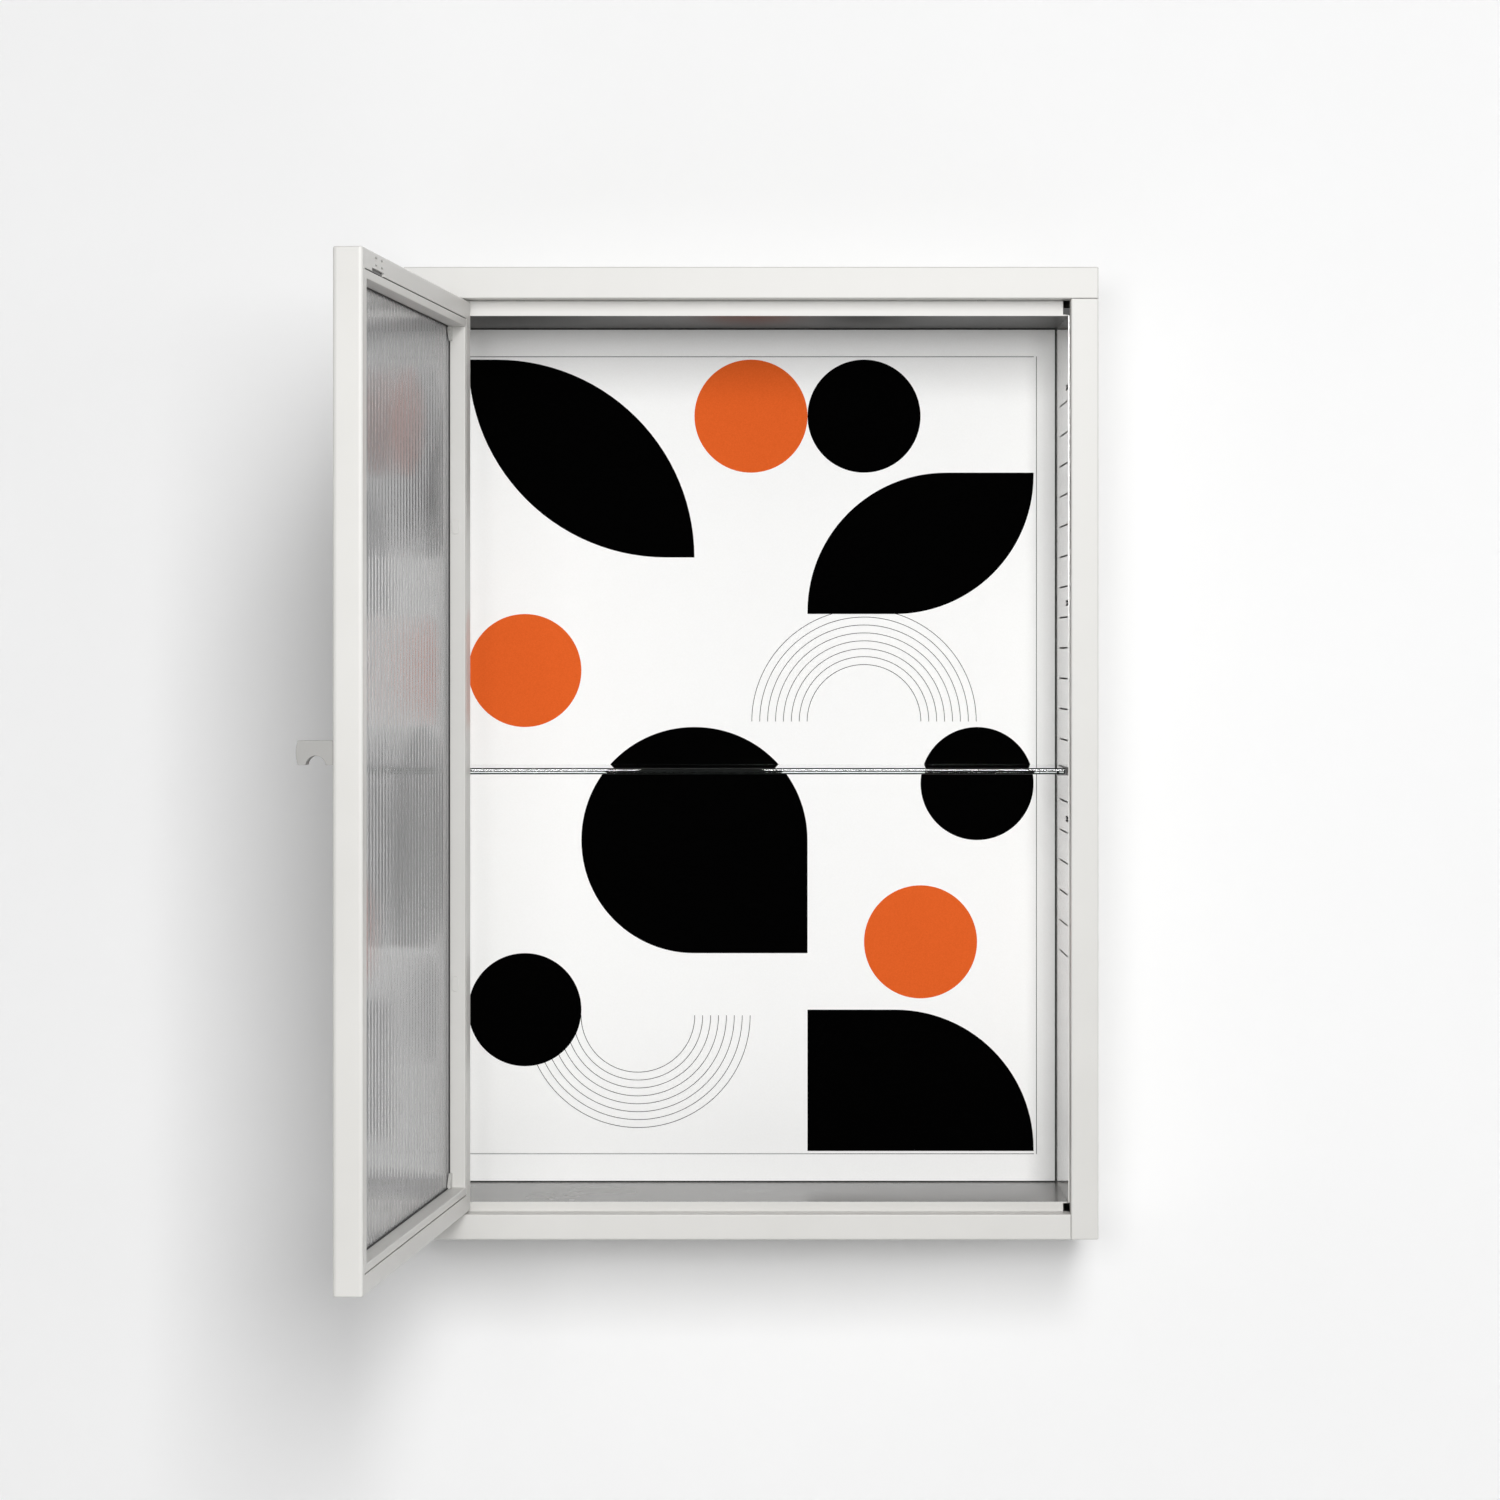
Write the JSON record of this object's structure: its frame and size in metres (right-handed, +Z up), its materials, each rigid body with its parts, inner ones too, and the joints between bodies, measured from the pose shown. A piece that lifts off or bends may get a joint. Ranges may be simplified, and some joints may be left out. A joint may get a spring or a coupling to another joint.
{
  "type": "wall mounted showcase",
  "caption": "Shallow wall mounted display case with a side-hinged reeded-glass door, a glass shelf and a printed sheet on its back board.",
  "frame": {"origin": "centre of the back face, on the wall plane", "axes": "+X to the right as seen from the front, +Y into the wall, +Z up; the front faces -Y"},
  "size_m": [0.5857, 0.6477, 0.767],
  "materials": {
    "painted_steel": "warm light grey powder coat, fine satin texture",
    "clear_glass": "clear float glass with polished edges",
    "reeded_glass": "reeded glass with upright rounded flutes",
    "print": "matt printed paper sheet",
    "board": "plain rigid board",
    "plastic": "moulded nylon",
    "dark_steel": "darkened steel",
    "seal": "soft black seal"
  },
  "bodies": {
    "cabinet": {"left_side_panel": "painted_steel", "right_side_panel": "painted_steel", "top_panel": "painted_steel", "bottom_panel": "painted_steel", "left_liner": "painted_steel", "right_liner": "painted_steel", "ceiling_panel": "painted_steel", "floor_panel": "painted_steel", "back_panel": "painted_steel", "backing_board": "board", "display_print": "print", "shelf_glass": "clear_glass", "shelf_clip_left_front": "dark_steel", "shelf_clip_left_rear": "dark_steel", "shelf_clip_right_front": "dark_steel", "shelf_clip_right_rear": "dark_steel", "hinge_bush_top": "plastic", "hinge_bush_bottom": "plastic", "left_liner_hook_1": "dark_steel", "left_liner_hook_2": "dark_steel", "left_liner_hook_3": "dark_steel", "right_liner_hook_1": "dark_steel", "right_liner_hook_2": "dark_steel", "right_liner_hook_3": "dark_steel"},
    "door": {"door_hinge_stile": "painted_steel", "door_free_stile": "painted_steel", "door_top_rail": "painted_steel", "door_bottom_rail": "painted_steel", "glazing_bead_top": "painted_steel", "glazing_bead_bottom": "painted_steel", "glazing_bead_hinge": "painted_steel", "glazing_bead_free": "painted_steel", "reeded_glass": "reeded_glass", "glazing_seal": "seal", "glass_clip_hinge_bottom": "plastic", "glass_clip_hinge_top": "plastic", "glass_clip_free_bottom": "plastic", "glass_clip_free_top": "plastic", "door_handle": "painted_steel", "handle_screw": "dark_steel", "catch_magnet": "dark_steel", "stile_plug_lower": "plastic", "stile_plug_upper": "plastic", "pivot_block_top": "plastic", "pivot_block_bottom": "plastic", "hinge_pin_top": "dark_steel", "hinge_pin_bottom": "dark_steel"}
  },
  "joints": [
    {"name": "door_hinge", "type": "hinge", "parent": "cabinet", "child": "door", "pos_m": [-0.2385, -0.16, 0], "axis": [0, 0, -1], "range_deg": [-95, 15]}
  ]
}
